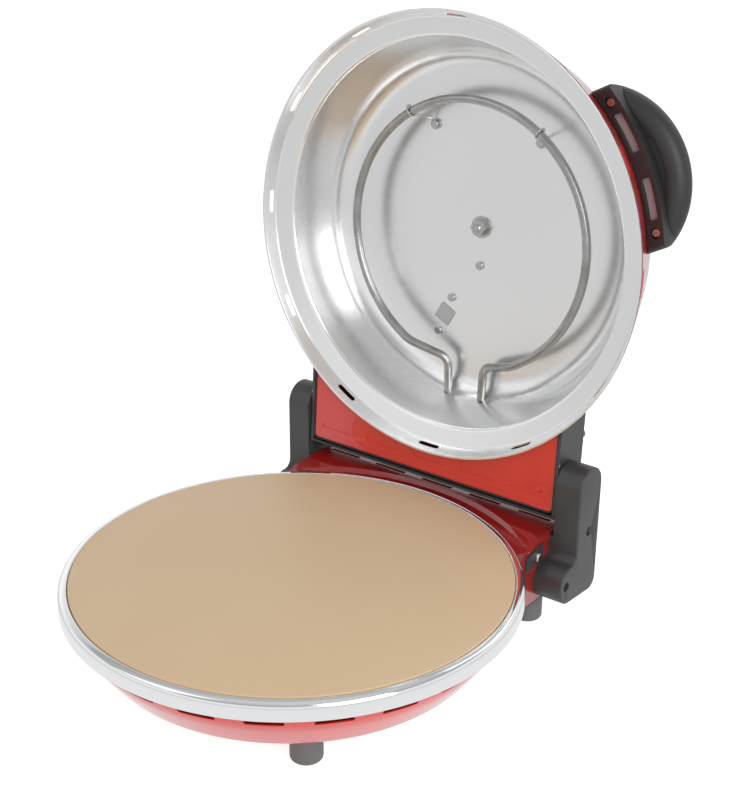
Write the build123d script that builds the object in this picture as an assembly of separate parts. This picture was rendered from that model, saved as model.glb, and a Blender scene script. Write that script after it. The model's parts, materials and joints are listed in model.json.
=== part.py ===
"""Electric pizza maker: a round stone oven with a domed lid hinged at the back.

Millimetres, +Z up, origin at the centre of the stone's top face.  +X runs along
the hinge axis, the hinge is at the back (+Y) and the front faces -Y.
The lid is drawn closed and then turned about the hinge axis to its open rest.
"""
import os
from math import cos, radians, sin

from build123d import *

# ---- driving sizes -------------------------------------------------------
seat_gap = 0.3             # between parts that rest on one another

# baking stone and the chrome ring round it
stone_radius = 155.0
stone_thickness = 12.0
stone_edge = 1.5
ring_gap = 1.0             # between the stone and the ring
ring_reach = 7.8           # from the stone's edge to the band's outer face
ring_sheet = 0.9
ring_lip_drop = 0.4        # the ring's inner lip lies this far under the stone's top
ring_slope = 1.2           # the ring falls by this from its inner lip to its edge
ring_edge_round = 2.6
band_height = 13.1         # from the inner lip down to the band's lower edge

# red base bowl
bowl_sheet = 1.2
ledge_step = 5.8           # the bowl's ledge lies this far inside the chrome band
ledge_dip = 0.8
flank_step = 4.2           # from the ledge in to where the flank turns
flank_drop = 26.0
floor_step = 19.8          # from there in to where flank and floor would meet
floor_drop = 53.0          # bowl floor below the stone's top
floor_bend = 12.0
vent_count = 22
vent_length = 26.0
vent_height = 3.4
vent_drop = 20.5
vent_reach = 120.0         # vents run round the front as far as this angle

# lower heating side, under the stone
dish_sheet = 0.9
dish_seat = 8.0            # the stone overlaps the dish's flange by this
dish_wall_draft = 8.0
dish_floor_drop = 33.0
tube_diameter = 6.5
lower_loop_radius = 100.0
lower_loop_rise = 9.0      # centre of the loop above the dish floor
lower_loop_opening = 16.0  # half of its gap, in degrees
lower_leg_run = 14.0
lower_leg_drop = 20.0
post_radius = 4.0

# rear housing behind the bowl
rear_reach = 27.2          # from the chrome band to the housing's back
rear_depth = 92.0
rear_corner = 8.0
deck_drop = 1.5            # deck below the stone's top
deck_wall = 2.5
deck_gap = 0.8             # between the deck and the chrome ring
deck_ledge_drop = 5.0      # lowered strip next to the chrome ring
deck_ledge_width = 8.0
deck_cove = 4.0
deck_bend = 3.0
ear_run = 38.0             # the deck slopes down this far in front of its back
ear_slope = 0.21
deck_slot_count = 5
deck_slot_margin = 0.5
deck_slot_web = 16.0       # between neighbouring slots
deck_slot_width = 3.0
deck_slot_inset = 13.0     # from the housing's back
rear_floor_sheet = 2.0

# feet
foot_diameter = 22.5
foot_height = 22.0
foot_round = 3.0
foot_recess = 9.0
foot_recess_depth = 12.0
front_foot_x = 78.5
front_foot_y = -82.5
rear_foot_inset = 13.5     # from the housing's side
rear_foot_run = 33.0       # from the housing's back

# hinge
hinge_inset = 11.9         # from the housing's back
hinge_z = 18.9
open_angle = 93.66         # from closed to the rest against the stop
pin_diameter = 8.0
pin_clearance = 0.06
pin_bury = 14.6            # length of the pin inside the cover
pin_reach = 9.0            # length of the pin inside the lid's box

# black hinge covers, one on each side
cover_gap = 1.1            # between the cover and the lid's box
cover_width = 20.6
cover_depth = 31.0
cover_overhang = 2.0       # behind the housing's back
cover_top = 51.5
cover_toe_reach = 21.0     # in front of the cover's upper part
cover_heel_draft = 1.4
cover_sole = -48.0
cover_heel_drop = 3.4
cover_instep = -20.0
cover_crown = 15.0
cover_heel = 9.0
cover_toe_round = 13.0
cover_instep_round = 7.0
cover_edge = 1.4
cover_shoulder = -4.0      # below this the cover reaches in to the housing's side
low_screw_inset = 7.6      # from the toe's front
low_screw_z = -33.4
high_screw_inset = 1.6     # in front of the hinge
high_screw_z = 0.7
screw_shank = 3.6
screw_head = 6.6
screw_head_height = 2.4
screw_recess = 7.6
screw_recess_depth = 5.0
low_screw_length = 34.0
high_screw_length = 12.0
screw_boss = 10.0

# earth plates at the deck's sides
side_plate_length = 22.0
side_plate_inset = 2.0     # its back end from where the slope begins
side_plate_drop = 3.2      # under the deck's sloping edge
side_plate_height = 11.5
side_plate_sheet = 1.6
side_screw_run = 8.5       # from the plate's back end
side_screw_head = 7.4
side_screw_height = 3.2
side_screw_length = 9.0

# lid: heights are measured up from the rim plane of the closed lid
rim_z = -1.0               # rim plane of the closed lid
rim_overhang = 3.2         # the rim's radius over the chrome band's
lip_width = 1.7
dome_sheet = 1.2
dome_edge_height = 3.2
dome_edge_inset = 0.4
dome_slope = 0.4155        # the flank draws in by this for each mm of height
dome_height = 76.0
dome_shoulder = 30.0
reflector_sheet = 0.9
flange_outer_height = 9.6
flange_width = 20.0
flange_inner_height = 12.6
reflector_draft = 14.0     # from the flange's inner edge to the flat top's edge
reflector_height = 60.0
reflector_bend = 18.0
lid_vent_count = 12
lid_vent_length = 18.0
lid_vent_height = 3.4
lid_vent_rise = 6.0
dome_vent_length = 22.0    # the dome's own slots are larger than the dish's
dome_vent_height = 8.0
dome_vent_rise = 9.0

# upper heating element
upper_loop_radius = 103.0
upper_loop_height = 40.0
loop_opening = 26.5        # half of the gap at the hinge side, in degrees
leg_corner_x = 29.0
leg_bend = 13.0
leg_hole_x = 15.4
leg_hole_inset = 0.5       # from the flat top's edge radius
leg_hole_height = 53.0
leg_tail = 4.0
element_clearance = 1.2    # hole in the reflector round the tube
clip_angle = 33.0
clip_wire = 1.6
clip_screw_radius = 85.5

# fasteners on the reflector's flat top
stud_diameter = 6.0
stud_length = 22.0
nut_width = 11.0
nut_height = 5.0
washer_diameter = 17.0
washer_sheet = 1.2
thermostat_x = -28.0
thermostat_y = 75.0
thermostat_radius = 12.0
thermostat_height = 12.5
thermostat_ear = 21.0      # half length of its mounting ears
thermostat_spread = 31.0   # between its two screws
thermostat_turn = 20.0
sensor_side = 14.0
sensor_sheet = 0.8
sensor_turn = 28.0
earth_screw_x = 0.9
earth_screw_y = 30.0
small_screw_head = 6.4
small_screw_height = 2.2
small_screw_shank = 3.2
small_screw_length = 6.0

# black box at the back of the lid, with the red panel under it
box_half_width = 114.3
box_overhang = 2.3         # beyond the housing's side
box_bottom = 5.0
box_height = 38.4
box_wall = 2.5
box_round = 11.0
box_sill_round = 2.0
hinge_boss = 16.0
panel_inset = 3.5          # from the box's side
panel_back_inset = 5.2     # from the box's back
panel_height = 6.2
panel_sheet = 1.2
panel_corner = 3.0
panel_edge = 0.5
panel_slot_web = 15.6
panel_slot_width = 3.2
panel_slot_depth = 0.6
panel_slot_inset = 11.5    # from the panel's back edge
frame_lift = 5.4           # lower edge of the panel's frame
frame_ledge = 2.4
frame_ledge_sheet = 1.4

# rivets in the box's sides and the two small studs on its top
rivet_run = 43.0           # from the box's back
rivet_rise = 2.2           # above the box's lower edge
rivet_head = 4.0
rivet_height = 0.6
rivet_shank = 2.4
stud_inset = 3.3           # from the box's side
stud_run = 58.0            # from the box's back to the large stud
stud_pitch = 6.0
large_stud = 6.4
small_stud = 3.6
stud_peg = 2.0
stud_peg_length = 2.2
stud_rise = 4.0

# handle on the lid's right flank: a drafted D seen from above, its lower half cut
# back to a wall so that the fingers go under the grip
handle_angle = 62.0        # from the lid's front edge towards +X
handle_depth = 13.33       # from the dome's flank to the wall, at the handle's foot
handle_foot = 29.5
handle_seam = 44.8         # the bracket ends and the grip begins
handle_top = 58.0
handle_half = 59.0
handle_wall = 2.5
handle_set_back = 49.5     # from the wall in to the centre of the D
handle_overhang = 21.6     # of the D beyond the wall, at the handle's foot
handle_draft = 0.166
handle_foot_round = 5.0
grip_valley = 37.5
grip_valley_run = 4.5      # from the wall out to the valley's bend
grip_valley_bend = 10.0
grip_lip = 35.0
grip_lip_round = 11.0
grip_crown = 9.0
window_near = 9.5
window_far = 38.0
window_set = 3.6           # from the wall's outer face in to the window
window_width = 6.7
strap_half = 40.0
strap_sheet = 1.2
grip_screw_v = 47.0
grip_screw_length = 18.0
grip_screw_sink = 4.0
grip_screw_cup = 12.4
grip_boss = 9.0

# thermostat knob on top of the dome
dial_radius = 25.0
dial_sheet = 1.6
knob_radius = 18.0
knob_height = 17.0
knob_skirt = 4.0
knob_grip_width = 9.0
shaft_diameter = 6.0
running_gap = 0.5
shaft_grip = 10.0          # length of the shaft inside the knob

# cord inlet in the rear wall
inlet_inset = 32.0         # from the housing's left side
inlet_z = -34.0
inlet_bore = 7.0
inlet_neck = 10.0
inlet_collar = 15.0
inlet_flange = 3.0
inlet_length = 8.0

os.makedirs("parts", exist_ok=True)


# ---- worked out from the driving sizes -----------------------------------
ring_radius = stone_radius + ring_reach
ledge_radius = ring_radius - ledge_step
flank_radius = ledge_radius - flank_step
floor_radius = flank_radius - floor_step
dish_wall_top = stone_radius - dish_seat
dish_floor_radius = dish_wall_top - dish_wall_draft
rear_half_width = box_half_width - box_overhang
rear_back = ring_radius + rear_reach
rear_front = rear_back - rear_depth
ear_front = rear_back - ear_run
deck_slot_pitch = 2 * (rear_half_width - deck_slot_margin) / deck_slot_count
deck_slot_length = deck_slot_pitch - deck_slot_web
deck_slot_y = rear_back - deck_slot_inset
rear_foot_x = rear_half_width - rear_foot_inset
inlet_x = inlet_inset - rear_half_width
rear_foot_y = rear_back - rear_foot_run
hinge_y = rear_back - hinge_inset
cover_back = rear_back + cover_overhang
cover_front = cover_back - cover_depth
cover_toe = cover_front - cover_toe_reach
low_screw_y = cover_toe + low_screw_inset
high_screw_y = hinge_y - high_screw_inset
side_plate_back = ear_front - side_plate_inset
side_plate_front = side_plate_back - side_plate_length
side_screw_y = side_plate_back - side_screw_run
lip_radius = stone_radius + ring_gap
lip_z = -ring_lip_drop
band_bottom = lip_z - band_height
collar_radius = ring_radius - ring_sheet - seat_gap
collar_top = lip_z - ring_slope - ring_edge_round
dish_flange_z = -stone_thickness - seat_gap
ledge_z = dish_flange_z - dish_sheet - seat_gap - bowl_sheet
deck_z = -deck_drop
side_plate_middle = deck_z - side_plate_drop - side_plate_height / 2
side_screw_z = side_plate_middle - ear_slope * (ear_front - side_screw_y)
bowl_bends = [1.6, 1.6, 10.0, floor_bend]
cover_inner = box_half_width + cover_gap
cover_outer = cover_inner + cover_width
hinge_axis = Axis((0, hinge_y, hinge_z), (1, 0, 0))
rim_radius = ring_radius + rim_overhang
dome_edge_radius = rim_radius - dome_edge_inset
flange_inner = rim_radius - flange_width
reflector_top_radius = flange_inner - reflector_draft
leg_hole_y = reflector_top_radius - leg_hole_inset
dome_top_z = rim_z + dome_height
reflector_z = rim_z + reflector_height
lip_inner = rim_radius - lip_width
flange_outer = lip_inner - dome_slope * flange_outer_height
upper_loop_z = rim_z + upper_loop_height
box_back = rear_back
panel_half_width = box_half_width - panel_inset
panel_back = box_back - panel_back_inset
panel_slot_length = deck_slot_pitch - panel_slot_web
panel_slot_y = panel_back - panel_slot_inset
handle_radius = dome_edge_radius - dome_slope * (handle_foot - dome_edge_height) + handle_depth
handle_centre = handle_radius - handle_set_back
handle_reach = handle_set_back + handle_overhang
window_high = handle_radius - window_set
window_low = window_high - window_width


def sheet(points, radii, thickness, side):
    """Section of a sheet that follows a bent line in the (r, z) plane."""
    path = FilletPolyline(*points, radius=radii)
    return make_face(offset(path, amount=thickness, side=side))


def spun(section):
    """Solid of revolution about Z from a section drawn as (r, z)."""
    return revolve(Plane.XZ * section, Axis.Z)


def polar(radius, angle):
    """Point at an angle from the front (-Y) towards +X."""
    return radius * sin(radians(angle)), -radius * cos(radians(angle))


def block(x0, x1, y0, y1, z0, z1):
    """Box between two corners."""
    size = Box(x1 - x0, y1 - y0, z1 - z0)
    return Pos((x0 + x1) / 2, (y0 + y1) / 2, (z0 + z1) / 2) * size


def post(x, y, z0, z1, radius):
    """Upright cylinder."""
    return Pos(x, y, z0) * extrude(Circle(radius), z1 - z0)


def along_x(x0, x1, y, z, radius):
    """Cylinder along X."""
    return Plane(origin=(x0, y, z), z_dir=(1, 0, 0)) * extrude(Circle(radius), x1 - x0)


def rod(start, end, radius):
    """Round bar between two points."""
    run = Vector(*end) - Vector(*start)
    return Plane(origin=start, z_dir=run) * extrude(Circle(radius), run.length)


def wall_slot(radius, angle, z, length, height, depth):
    """Cutter for a slot with round ends that runs round a wall."""
    x, y = polar(radius, angle)
    out = polar(1, angle)
    place = Plane(origin=(x, y, z), x_dir=(-out[1], out[0], 0), z_dir=(out[0], out[1], 0))
    return place * extrude(SlotOverall(length, height), depth, both=True)


def loop(radius, z, opening, faces_back):
    """Tube bent to a ring with a gap; the gap faces the back or the front."""
    section = Plane.XZ * Pos(radius, z) * Circle(tube_diameter / 2)
    bent = revolve(section, Axis.Z, 360 - 2 * opening)
    return bent.rotate(Axis.Z, opening + (90 if faces_back else -90))


def bent_leg(start, corner, end, bend):
    """Tube through three points with one bend."""
    path = FilletPolyline(start, corner, end, radius=bend)
    section = Plane(origin=path @ 0, z_dir=path % 0) * Circle(tube_diameter / 2)
    return sweep(section, path)


def opened(shape):
    """Turn a piece of the closed lid to the open rest."""
    return shape.rotate(hinge_axis, -open_angle)


def mirrored(shape):
    """The same piece on the other side."""
    return mirror(shape, Plane.YZ)


def write(shape, name):
    """Write one piece."""
    export_step(shape, f"parts/{name}.step")


# ---- base ----------------------------------------------------------------
def pizza_stone():
    """Round baking stone."""
    stone = extrude(Circle(stone_radius), -stone_thickness)
    return fillet(stone.edges(), stone_edge)


def trim_ring():
    """Chromed sheet ring: inner lip, sloping top and outer band."""
    points = [
        (lip_radius, -stone_thickness),
        (lip_radius, lip_z),
        (ring_radius, lip_z - ring_slope),
        (ring_radius, band_bottom),
    ]
    return spun(sheet(points, [1.2, ring_edge_round], ring_sheet, Side.RIGHT))


def bowl_points():
    """Outer line of the bowl from its collar to the middle of its floor."""
    return [
        (collar_radius, collar_top),
        (collar_radius, ledge_z),
        (ledge_radius, ledge_z - ledge_dip),
        (flank_radius, -flank_drop),
        (floor_radius, -floor_drop),
        (0, -floor_drop),
    ]


def base_shell():
    """Red pressed bowl with a row of vents under the chrome band."""
    shell = spun(sheet(bowl_points(), bowl_bends, bowl_sheet, Side.RIGHT))
    step = 360 / vent_count
    reach = int(vent_reach / step)
    cuts = []
    for i in range(-reach, reach + 1):
        middle = (ledge_radius + flank_radius) / 2
        cuts.append(wall_slot(middle, i * step, -vent_drop, vent_length, vent_height, 6))
    for x, y in foot_places()[:2]:
        cuts.append(post(x, y, -floor_drop - 1, -floor_drop + bowl_sheet + 1, screw_shank / 2))
    return shell - cuts


def lower_dish():
    """Aluminium dish that carries the stone on its flange."""
    points = [
        (collar_radius - bowl_sheet - seat_gap, dish_flange_z),
        (dish_wall_top, dish_flange_z),
        (dish_floor_radius, -dish_floor_drop),
        (0, -dish_floor_drop),
    ]
    dish = spun(sheet(points, [3.0, 8.0], dish_sheet, Side.LEFT))
    hole = tube_diameter / 2 + element_clearance
    for x, y, _ in (leg_end(1), leg_end(-1)):
        dish -= post(x, y, -dish_floor_drop - 5, -dish_floor_drop + 5, hole)
    return dish


def leg_corner_point(side):
    """Bend of a leg of the lower loop, level with the loop."""
    half = radians(lower_loop_opening)
    x = side * (lower_loop_radius * sin(half) - lower_leg_run * cos(half))
    y = lower_loop_radius * cos(half) + lower_leg_run * sin(half)
    return x, y, -dish_floor_drop + lower_loop_rise


def leg_end(side):
    """Lower end of a leg of the lower loop."""
    x, y, z = leg_corner_point(side)
    return x, y, z - lower_leg_drop


def lower_element():
    """Tube loop under the stone, its ends turned down through the dish."""
    z = -dish_floor_drop + lower_loop_rise
    body = loop(lower_loop_radius, z, lower_loop_opening, True)
    half = radians(lower_loop_opening)
    for side in (1, -1):
        start = (side * lower_loop_radius * sin(half), lower_loop_radius * cos(half), z)
        body += bent_leg(start, leg_corner_point(side), leg_end(side), 9.0)
    return body


def loop_posts():
    """Ceramic posts that carry the lower loop on the dish floor."""
    posts = []
    rise = lower_loop_rise - tube_diameter / 2
    for angle in (0, 120, 240):
        x, y = polar(lower_loop_radius, angle)
        posts.append(post(x, y, -dish_floor_drop, -dish_floor_drop + rise, post_radius))
    return Compound(children=posts)


def rear_block(inset, floor, top):
    """Plan of the rear housing as a block, its walls moved in by the inset."""
    half = rear_half_width - inset
    body = block(-half, half, rear_front + inset, rear_back - inset, floor, top)
    upright = body.edges().filter_by(Axis.Z).group_by(Axis.Y)[-1]
    return fillet(upright, rear_corner - inset)


def bowl_room(grow, drop):
    """Room in the rear housing for ring, lowered strip and bowl."""
    inner = ring_radius + deck_gap + grow
    strip = inner + deck_ledge_width
    ledge = -deck_ledge_drop - drop
    slope = (flank_radius - floor_radius) / (floor_drop - flank_drop)
    side = seat_gap + grow
    below = foot_height
    outline = [
        (0, deck_cove),
        (strip + deck_cove, deck_cove),
        (strip, ledge),
        (inner, ledge),
        (inner, ledge_z - bowl_sheet - drop),
        (ledge_radius + bowl_sheet + side, ledge_z - ledge_dip - bowl_sheet - drop),
        (flank_radius + side, -flank_drop),
        (floor_radius + side - below * slope, -floor_drop - below),
        (0, -floor_drop - below),
    ]
    return spun(make_face(Polyline(*outline, close=True)))


def ear_cut(drop):
    """Everything above the deck's front slope."""
    low = deck_z - drop
    fall = ear_slope * (ear_front - rear_front + 5)
    outline = [(ear_front, low), (ear_front, 10), (rear_front - 5, 10), (rear_front - 5, low - fall)]
    wedge = Plane.YZ * make_face(Polyline(*outline, close=True))
    return extrude(wedge, rear_half_width + 5, both=True)


def rear_housing():
    """Red moulded housing behind the bowl, with the slotted deck on top."""
    floor = -floor_drop + rear_floor_sheet
    body = rear_block(0, floor, deck_z)
    body = fillet(body.faces().sort_by(Axis.Z)[-1].edges().group_by(Axis.Y)[-1], deck_bend)
    body -= [ear_cut(0), bowl_room(0, 0)]
    hollow = rear_block(deck_wall, floor - 5, deck_z - deck_wall)
    hollow -= [ear_cut(deck_wall), bowl_room(deck_wall, deck_wall)]
    for side in (1, -1):
        boss_start = side * (rear_half_width - deck_wall)
        boss_end = side * (cover_outer - screw_recess_depth - low_screw_length)
        ends = sorted((boss_start, boss_end))
        hollow -= along_x(ends[0], ends[1], low_screw_y, low_screw_z, screw_boss / 2)
    body -= hollow
    for side in (1, -1):
        ends = sorted((side * rear_half_width, side * (rear_half_width - low_screw_length)))
        body -= along_x(ends[0] - 1, ends[1] + 1, low_screw_y, low_screw_z, screw_shank / 2)
        ends = sorted((side * rear_half_width, side * (rear_half_width - side_screw_length)))
        body -= along_x(ends[0] - 1, ends[1] + 1, side_screw_y, side_screw_z, screw_shank / 2)
    for i in range(deck_slot_count):
        x = (i - (deck_slot_count - 1) / 2) * deck_slot_pitch
        slot = extrude(SlotOverall(deck_slot_length, deck_slot_width), 12, both=True)
        body -= Pos(x, deck_slot_y, deck_z) * slot
    inlet = Plane(origin=(inlet_x, rear_back + 5, inlet_z), z_dir=(0, -1, 0))
    body -= inlet * extrude(Circle(inlet_neck / 2), 15)
    return body


def rear_floor():
    """Bottom plate of the rear housing."""
    plate = rear_block(0, -floor_drop, -floor_drop + rear_floor_sheet)
    plate -= bowl_room(0, 0)
    for x, y in foot_places()[2:]:
        plate -= post(x, y, -floor_drop - 1, -floor_drop + rear_floor_sheet + 1, screw_shank / 2)
    return plate


def foot_places():
    """Centres of the four feet, front pair first."""
    return [
        (front_foot_x, front_foot_y),
        (-front_foot_x, front_foot_y),
        (rear_foot_x, rear_foot_y),
        (-rear_foot_x, rear_foot_y),
    ]


def foot(x, y):
    """Rubber foot with a recess for its screw."""
    low = -floor_drop - foot_height
    body = post(x, y, low, -floor_drop, foot_diameter / 2)
    body = fillet(body.faces().sort_by(Axis.Z)[0].edges(), foot_round)
    body -= post(x, y, low - 1, low + foot_recess_depth, foot_recess / 2)
    return body - post(x, y, low, -floor_drop + 1, screw_shank / 2)


def foot_screw(x, y):
    """Screw that holds a foot, its head up in the foot's recess."""
    seat = -floor_drop - foot_height + foot_recess_depth
    head = post(x, y, seat - screw_head_height, seat, screw_head / 2)
    shank = post(x, y, seat, -floor_drop + 5, screw_shank / 2 - 0.1)
    return head + shank


def cover_plan(x0, x1):
    """Boot-shaped side view of a hinge cover, extruded along X."""
    points = [
        (cover_front, cover_top),
        (cover_back, cover_top),
        (cover_back - cover_heel_draft, cover_sole - cover_heel_drop),
        (cover_toe, cover_sole),
        (cover_toe, cover_instep),
        (cover_front, cover_instep),
    ]
    crown = min(cover_crown, (cover_back - cover_front) / 2 - 0.5)
    toe = min(cover_toe_round, (cover_instep - cover_sole) / 2 - 0.9)
    bends = [crown, crown, cover_heel, toe, toe, cover_instep_round]
    outline = FilletPolyline(*points, radius=bends, close=True)
    side = Plane.YZ.offset(x0) * make_face(outline)
    return extrude(side, x1 - x0)


def hinge_cover():
    """Black moulded boot at the right of the hinge."""
    body = cover_plan(cover_inner, cover_outer)
    body = fillet(body.faces().sort_by(Axis.X)[-1].edges(), cover_edge)
    root = cover_plan(rear_half_width, cover_inner)
    root &= block(0, cover_inner, 0, 300, -100, cover_shoulder)
    body += root
    for y, z in ((low_screw_y, low_screw_z), (high_screw_y, high_screw_z)):
        body -= along_x(cover_outer - screw_recess_depth, cover_outer + 1, y, z, screw_recess / 2)
    body -= along_x(0, cover_outer, low_screw_y, low_screw_z, screw_shank / 2)
    blind = cover_outer - screw_recess_depth - high_screw_length
    body -= along_x(blind, cover_outer, high_screw_y, high_screw_z, screw_shank / 2)
    bore = pin_diameter / 2 + pin_clearance
    return body - along_x(0, cover_inner + pin_bury, hinge_y, hinge_z, bore)


def hinge_pin():
    """Steel pin, fast in the right cover, that the lid's box turns on."""
    start = box_half_width - pin_reach
    return along_x(start, cover_inner + pin_bury, hinge_y, hinge_z, pin_diameter / 2)


def cover_screws():
    """Two recessed screws of the right cover."""
    seat = cover_outer - screw_recess_depth
    screws = []
    for y, z, length in (
        (low_screw_y, low_screw_z, low_screw_length),
        (high_screw_y, high_screw_z, high_screw_length),
    ):
        head = along_x(seat, seat + screw_head_height, y, z, screw_head / 2)
        socket = Plane(origin=(seat + screw_head_height, y, z), z_dir=(-1, 0, 0))
        head -= socket * extrude(RegularPolygon(1.9, 6), 1.4)
        shank = along_x(seat - length, seat, y, z, screw_shank / 2 - 0.1)
        screws.append(head + shank)
    return Compound(children=screws)


def side_plate():
    """Small black plate screwed to the right side of the rear housing."""
    points = []
    for y, drop in (
        (side_plate_back, side_plate_drop),
        (side_plate_front, side_plate_drop),
        (side_plate_front, side_plate_drop + side_plate_height),
        (side_plate_back, side_plate_drop + side_plate_height),
    ):
        points.append((y, deck_z - ear_slope * (ear_front - y) - drop))
    outline = make_face(FilletPolyline(*points, radius=1.2, close=True))
    plate = extrude(Plane.YZ.offset(rear_half_width) * outline, side_plate_sheet)
    return plate - along_x(0, 300, side_screw_y, side_screw_z, screw_shank / 2)


def side_screw():
    """Silver screw through the side plate."""
    seat = rear_half_width + side_plate_sheet
    head = along_x(seat, seat + side_screw_height, side_screw_y, side_screw_z, side_screw_head / 2)
    head = fillet(head.faces().sort_by(Axis.X)[-1].edges(), 1.2)
    start = seat - side_screw_length
    shank = along_x(start, seat, side_screw_y, side_screw_z, screw_shank / 2 - 0.1)
    return head + shank


def cord_inlet():
    """Bushing in the rear wall for a mains cord."""
    place = Plane(origin=(inlet_x, rear_back + inlet_flange, inlet_z), z_dir=(0, -1, 0))
    flange = extrude(Circle(inlet_collar / 2), inlet_flange)
    neck = extrude(Circle(inlet_neck / 2 - 0.1), inlet_flange + inlet_length)
    body = fillet(flange.faces().sort_by(Axis.Z)[0].edges(), 1.0) + neck
    body -= extrude(Circle(inlet_bore / 2), 60, both=True)
    return place * body


# ---- lid, drawn closed ---------------------------------------------------
def dome_radius(height):
    """Outer radius of the dome's flank at a height above the rim plane."""
    return dome_edge_radius - dome_slope * (height - dome_edge_height)


def dome_line(start, grow=0.0):
    """Outer line of the dome from a height up to the middle of its top."""
    side = grow * 1.083
    return [
        (dome_radius(start) + side, rim_z + start),
        (dome_radius(dome_height + grow) + side, dome_top_z + grow),
        (0, dome_top_z + grow),
    ]


def dome_core(grow=0.0):
    """Filled outer shape of the dome, grown by a clearance."""
    points = dome_line(-20, grow)
    line = FilletPolyline(*points, radius=dome_shoulder + grow)
    closing = Polyline(points[-1], (0, rim_z - 20), points[0])
    return spun(make_face(line.edges() + closing.edges()))


def lid_vents(rise, length, height):
    """Cutters for a row of slots just above the lid's rim."""
    cuts = []
    for i in range(lid_vent_count):
        angle = i * 360 / lid_vent_count
        cuts.append(wall_slot(lip_inner, angle, rim_z + rise, length, height, 8))
    return cuts


def lid_dome():
    """Red pressed dome."""
    line = dome_line(dome_edge_height)
    dome = spun(sheet(line, dome_shoulder, dome_sheet, Side.LEFT))
    dome -= lid_vents(dome_vent_rise, dome_vent_length, dome_vent_height)
    bore = shaft_diameter / 2 + running_gap
    return dome - post(thermostat_x, thermostat_y, dome_top_z - 5, dome_top_z + 5, bore)


def lid_reflector():
    """Aluminium inner dish of the lid with a turned-out rim."""
    points = [
        (rim_radius, rim_z),
        (lip_inner, rim_z),
        (flange_outer, rim_z + flange_outer_height),
        (flange_inner, rim_z + flange_inner_height),
        (reflector_top_radius, reflector_z),
        (0, reflector_z),
    ]
    bends = [0.6, 2.0, 4.0, reflector_bend]
    dish = spun(sheet(points, bends, reflector_sheet, Side.RIGHT))
    dish -= lid_vents(lid_vent_rise, lid_vent_length, lid_vent_height)
    for side in (1, -1):
        start, hole, end = upper_leg(side)
        run = Vector(*end) - Vector(*hole)
        cutter = Plane(origin=hole, z_dir=run)
        cutter *= extrude(Circle(tube_diameter / 2 + element_clearance), run.length + 6, both=True)
        dish -= cutter & block(-40, 40, 118, 145, reflector_z - 24, reflector_z + 6)
        x, y = polar(clip_screw_radius, side * clip_angle)
        dish -= post(x, y, reflector_z - 5, reflector_z + 5, small_screw_shank / 2)
    for x, y in thermostat_screw_places() + [(earth_screw_x, earth_screw_y)]:
        dish -= post(x, y, reflector_z - 5, reflector_z + 5, small_screw_shank / 2)
    return dish - post(0, 0, reflector_z - 5, reflector_z + 5, stud_diameter / 2 + 0.2)


def rim_seal():
    """Dark sealing ring between the reflector's rim and the dome."""
    low = rim_z + reflector_sheet + 0.05
    high = rim_z + dome_edge_height - dome_sheet * dome_slope - 0.05
    inner = lip_inner + 0.8
    outer = rim_radius - 0.3
    ring = extrude(Circle(outer), high - low) - extrude(Circle(inner), high - low)
    return Pos(0, 0, low) * ring


def upper_leg(side):
    """Bend, wall point and end of a leg of the upper loop."""
    half = radians(loop_opening)
    x = upper_loop_radius * sin(half)
    y = upper_loop_radius * cos(half)
    run = (x - leg_corner_x) / cos(half)
    corner = Vector(side * leg_corner_x, y + run * sin(half), upper_loop_z)
    hole = Vector(side * leg_hole_x, leg_hole_y, rim_z + leg_hole_height)
    end = hole + (hole - corner).normalized() * leg_tail
    return tuple(corner), tuple(hole), tuple(end)


def upper_element():
    """Tube loop in the lid, its ends turned out through the reflector."""
    body = loop(upper_loop_radius, upper_loop_z, loop_opening, True)
    half = radians(loop_opening)
    for side in (1, -1):
        x = side * upper_loop_radius * sin(half)
        start = (x, upper_loop_radius * cos(half), upper_loop_z)
        corner, _, end = upper_leg(side)
        body += bent_leg(start, corner, end, leg_bend)
    return body


def element_clip(side):
    """Wire clip: an eye under the screw, a strand and a hook round the tube."""
    angle = side * clip_angle
    wire = clip_wire / 2
    reach = tube_diameter / 2 + wire + 0.15
    out = polar(1, angle)
    tube_point = polar(upper_loop_radius, angle)
    along = (-out[1], out[0], 0)
    place = Plane(origin=(tube_point[0], tube_point[1], upper_loop_z), x_dir=(0, 0, 1), z_dir=along)
    hook = revolve(Plane.XZ * Pos(reach, 0) * Circle(wire), Axis.Z)
    hook = place * hook
    eye_z = reflector_z - clip_wire
    eye = polar(clip_screw_radius, angle)
    loop_eye = Pos(eye[0], eye[1], eye_z) * extrude(Circle(4.2) - Circle(1.9), clip_wire)
    top = polar(upper_loop_radius - reach * 0.6, angle)
    foot_point = polar(clip_screw_radius + 3.2, angle)
    strand = rod(
        (top[0], top[1], upper_loop_z + reach * 0.8),
        (foot_point[0], foot_point[1], eye_z + wire),
        wire,
    )
    return hook + strand + loop_eye


def flat_screw(x, y, seat, length):
    """Pan screw driven up into the reflector's flat top."""
    head = post(x, y, seat - small_screw_height, seat, small_screw_head / 2)
    head = fillet(head.faces().sort_by(Axis.Z)[0].edges(), 0.8)
    return head + post(x, y, seat, seat + length, small_screw_shank / 2 - 0.1)


def clip_screws():
    """Screws of the two element clips."""
    screws = []
    for side in (1, -1):
        x, y = polar(clip_screw_radius, side * clip_angle)
        screws.append(flat_screw(x, y, reflector_z - clip_wire, small_screw_length))
    return Compound(children=screws)


def centre_stud():
    """Stud from the dome's top down through the reflector."""
    top = dome_top_z - dome_sheet
    stud = post(0, 0, top - stud_length, top, stud_diameter / 2)
    return chamfer(stud.faces().sort_by(Axis.Z)[0].edges(), 0.8)


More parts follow.
